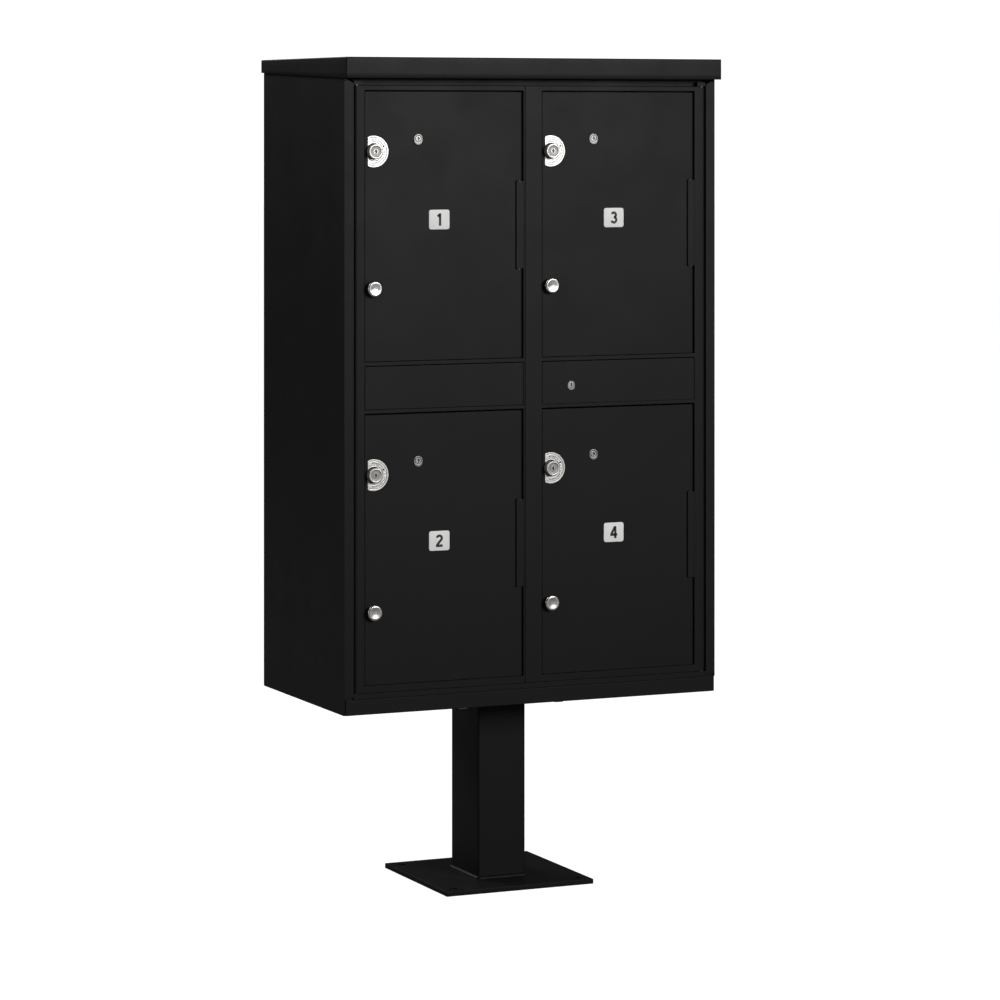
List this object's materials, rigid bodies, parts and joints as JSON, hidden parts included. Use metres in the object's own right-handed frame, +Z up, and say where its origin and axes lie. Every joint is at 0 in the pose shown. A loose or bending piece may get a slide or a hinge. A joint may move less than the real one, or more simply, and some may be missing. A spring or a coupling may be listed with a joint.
{
  "type": "outdoor parcel locker unit",
  "caption": "Pedestal-mounted outdoor parcel locker: a hooded cabinet of key-locked compartments behind two full-height service doors, front access.",
  "frame": {"origin": "centre of the base plate's underside, on the ground", "axes": "+Z up, +Y from the doors to the back panel, +X to the right as seen from the front"},
  "size_m": [0.7746, 0.444, 1.575],
  "materials": {
    "black_powder_coat": "fine satin powder coat on aluminium",
    "black_lock_finish": "black lacquered lock metal",
    "bright_metal": "brushed nickel plate",
    "plug_metal": "turned nickel-silver",
    "white_plate": "matte engraving plastic",
    "zinc_plated_steel": "zinc plate"
  },
  "bodies": {
    "cabinet": {"base_plate": "black_powder_coat", "pedestal_column": "black_powder_coat", "pedestal_top_plate": "black_powder_coat", "pedestal_bolts": "zinc_plated_steel", "cabinet_floor": "black_powder_coat", "left_side_panel": "black_powder_coat", "right_side_panel": "black_powder_coat", "back_panel": "black_powder_coat", "cabinet_roof": "black_powder_coat", "hood": "black_powder_coat", "centre_divider": "black_powder_coat", "centre_post": "black_powder_coat", "left_shelf": "black_powder_coat", "right_shelf": "black_powder_coat", "front_sill": "black_powder_coat", "pivot_pins": "zinc_plated_steel"},
    "left_service_door": {"left_frame": "black_powder_coat", "left_blank_panel": "black_powder_coat", "left_hinge_tabs": "black_powder_coat", "left_hinge_pins": "zinc_plated_steel"},
    "right_service_door": {"right_frame": "black_powder_coat", "right_blank_panel": "black_powder_coat", "right_hinge_tabs": "black_powder_coat", "right_hinge_pins": "zinc_plated_steel", "service_lock_body": "black_lock_finish"},
    "compartment_door_1": {"door_1": "black_powder_coat", "dress_plate_1": "bright_metal", "lock_body_1": "bright_metal", "control_body_1": "black_lock_finish", "knob_1": "bright_metal", "number_plate_1": "white_plate"},
    "compartment_door_2": {"door_2": "black_powder_coat", "dress_plate_2": "bright_metal", "lock_body_2": "bright_metal", "control_body_2": "black_lock_finish", "knob_2": "bright_metal", "number_plate_2": "white_plate"},
    "compartment_door_3": {"door_3": "black_powder_coat", "dress_plate_3": "bright_metal", "lock_body_3": "bright_metal", "control_body_3": "black_lock_finish", "knob_3": "bright_metal", "number_plate_3": "white_plate"},
    "compartment_door_4": {"door_4": "black_powder_coat", "dress_plate_4": "bright_metal", "lock_body_4": "bright_metal", "control_body_4": "black_lock_finish", "knob_4": "bright_metal", "number_plate_4": "white_plate"},
    "customer_lock_1": {"lock_plug_1": "plug_metal"},
    "customer_lock_2": {"lock_plug_2": "plug_metal"},
    "customer_lock_3": {"lock_plug_3": "plug_metal"},
    "customer_lock_4": {"lock_plug_4": "plug_metal"},
    "control_lock_1": {"control_plug_1": "plug_metal"},
    "control_lock_2": {"control_plug_2": "plug_metal"},
    "control_lock_3": {"control_plug_3": "plug_metal"},
    "control_lock_4": {"control_plug_4": "plug_metal"},
    "service_lock": {"service_lock_plug": "plug_metal"},
    "service_bolt": {"service_bolt": "zinc_plated_steel"},
    "left_latch": {"left_latch": "zinc_plated_steel"}
  },
  "joints": [
    {"name": "left_service_door_hinge", "type": "hinge", "parent": "cabinet", "child": "left_service_door", "pos_m": [-0.3572, -0.204, 0.962], "axis": [0, 0, -1], "range_deg": [0, 90]},
    {"name": "right_service_door_hinge", "type": "hinge", "parent": "cabinet", "child": "right_service_door", "pos_m": [0.3572, -0.204, 0.962], "axis": [0, 0, 1], "range_deg": [0, 90]},
    {"name": "door_1_hinge", "type": "hinge", "parent": "left_service_door", "child": "compartment_door_1", "pos_m": [-0.0268, -0.205, 1.262], "axis": [0, 0, 1], "range_deg": [0, 100]},
    {"name": "door_2_hinge", "type": "hinge", "parent": "left_service_door", "child": "compartment_door_2", "pos_m": [-0.0268, -0.205, 0.665], "axis": [0, 0, 1], "range_deg": [0, 100]},
    {"name": "door_3_hinge", "type": "hinge", "parent": "right_service_door", "child": "compartment_door_3", "pos_m": [0.3334, -0.205, 1.262], "axis": [0, 0, 1], "range_deg": [0, 100]},
    {"name": "door_4_hinge", "type": "hinge", "parent": "right_service_door", "child": "compartment_door_4", "pos_m": [0.3334, -0.205, 0.665], "axis": [0, 0, 1], "range_deg": [0, 100]},
    {"name": "customer_lock_1_turn", "type": "hinge", "parent": "compartment_door_1", "child": "customer_lock_1", "pos_m": [-0.3248, -0.21, 1.4005], "axis": [0, 1, 0], "range_deg": [0, 90]},
    {"name": "customer_lock_2_turn", "type": "hinge", "parent": "compartment_door_2", "child": "customer_lock_2", "pos_m": [-0.3248, -0.21, 0.8035], "axis": [0, 1, 0], "range_deg": [0, 90]},
    {"name": "customer_lock_3_turn", "type": "hinge", "parent": "compartment_door_3", "child": "customer_lock_3", "pos_m": [0.0354, -0.21, 1.4005], "axis": [0, 1, 0], "range_deg": [0, 90]},
    {"name": "customer_lock_4_turn", "type": "hinge", "parent": "compartment_door_4", "child": "customer_lock_4", "pos_m": [0.0354, -0.21, 0.8035], "axis": [0, 1, 0], "range_deg": [0, 90]},
    {"name": "control_lock_1_turn", "type": "hinge", "parent": "compartment_door_1", "child": "control_lock_1", "pos_m": [-0.2358, -0.21, 1.4242], "axis": [0, 1, 0], "range_deg": [0, 90]},
    {"name": "control_lock_2_turn", "type": "hinge", "parent": "compartment_door_2", "child": "control_lock_2", "pos_m": [-0.2358, -0.21, 0.8272], "axis": [0, 1, 0], "range_deg": [0, 90]},
    {"name": "control_lock_3_turn", "type": "hinge", "parent": "compartment_door_3", "child": "control_lock_3", "pos_m": [0.1244, -0.21, 1.4242], "axis": [0, 1, 0], "range_deg": [0, 90]},
    {"name": "control_lock_4_turn", "type": "hinge", "parent": "compartment_door_4", "child": "control_lock_4", "pos_m": [0.1244, -0.21, 0.8272], "axis": [0, 1, 0], "range_deg": [0, 90]},
    {"name": "service_lock_turn", "type": "hinge", "parent": "right_service_door", "child": "service_lock", "pos_m": [0.0776, -0.21, 0.959], "axis": [0, 1, 0], "range_deg": [0, 90]},
    {"name": "service_bolt_slide", "type": "slide", "parent": "right_service_door", "child": "service_bolt", "axis": [-1, 0, 0], "range_m": [0, 0.016]},
    {"name": "left_latch_turn", "type": "hinge", "parent": "left_service_door", "child": "left_latch", "pos_m": [-0.0434, -0.176, 0.9637], "axis": [0, -1, 0], "range_deg": [0, 90]}
  ],
  "couplings": [
    {"joint": "service_bolt_slide", "follows": "service_lock_turn", "m_per_rad": 0.01018}
  ]
}
